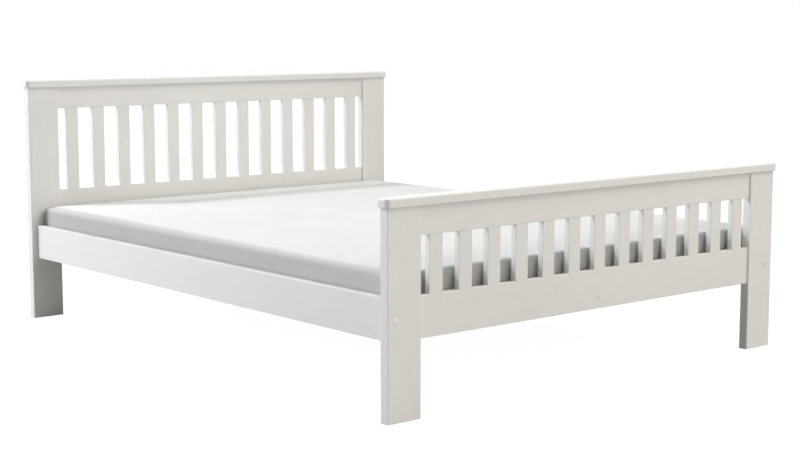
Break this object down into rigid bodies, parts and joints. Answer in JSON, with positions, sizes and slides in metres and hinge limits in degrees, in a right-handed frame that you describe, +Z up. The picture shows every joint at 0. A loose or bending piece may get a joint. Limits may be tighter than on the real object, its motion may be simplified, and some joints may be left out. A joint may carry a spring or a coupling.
{
  "type": "double bed",
  "caption": "White painted slatted bed with capped head and foot boards, bolted side rails, a slatted base on a centre beam, and a plain mattress that lifts off.",
  "frame": {"origin": "on the floor, under the middle of the bed's outline", "axes": "+X across the bed, to the right seen from the foot; +Y along the bed, towards the head; +Z up"},
  "size_m": [1.712, 2.118, 0.884],
  "materials": {
    "white_paint": "satin white lacquer",
    "bare_timber": "planed, untreated",
    "dowel_wood": "turned, untreated",
    "zinc_steel": "bright zinc plated",
    "mattress_cloth": "plain white knit"
  },
  "bodies": {
    "bed_frame": {"head_post_left": "white_paint", "head_post_right": "white_paint", "foot_post_left": "white_paint", "foot_post_right": "white_paint", "head_cap": "white_paint", "foot_cap": "white_paint", "head_top_rail": "white_paint", "foot_top_rail": "white_paint", "head_lower_rail": "white_paint", "foot_lower_rail": "white_paint", "head_slat_1": "white_paint", "head_slat_2": "white_paint", "head_slat_3": "white_paint", "head_slat_4": "white_paint", "head_slat_5": "white_paint", "head_slat_6": "white_paint", "head_slat_7": "white_paint", "head_slat_8": "white_paint", "head_slat_9": "white_paint", "head_slat_10": "white_paint", "head_slat_11": "white_paint", "head_slat_12": "white_paint", "head_slat_13": "white_paint", "foot_slat_1": "white_paint", "foot_slat_2": "white_paint", "foot_slat_3": "white_paint", "foot_slat_4": "white_paint", "foot_slat_5": "white_paint", "foot_slat_6": "white_paint", "foot_slat_7": "white_paint", "foot_slat_8": "white_paint", "foot_slat_9": "white_paint", "foot_slat_10": "white_paint", "foot_slat_11": "white_paint", "foot_slat_12": "white_paint", "foot_slat_13": "white_paint", "side_rail_left": "white_paint", "side_rail_right": "white_paint", "ledge_left": "bare_timber", "ledge_right": "bare_timber", "centre_beam": "bare_timber", "centre_leg": "bare_timber", "bed_slats": "bare_timber", "rail_dowels": "dowel_wood", "beam_dowels": "dowel_wood", "cap_dowels": "dowel_wood", "leg_hanger_bolt": "zinc_steel", "rail_bolts": "zinc_steel", "rail_barrel_nuts": "zinc_steel", "beam_bolts": "zinc_steel", "beam_barrel_nuts": "zinc_steel", "ledge_screws": "zinc_steel", "slat_screws": "zinc_steel"},
    "mattress": {"mattress": "mattress_cloth"}
  },
  "joints": [
    {"name": "mattress_lift", "type": "slide", "parent": "bed_frame", "child": "mattress", "axis": [0, 0, 1], "range_m": [0, 0.65]}
  ]
}
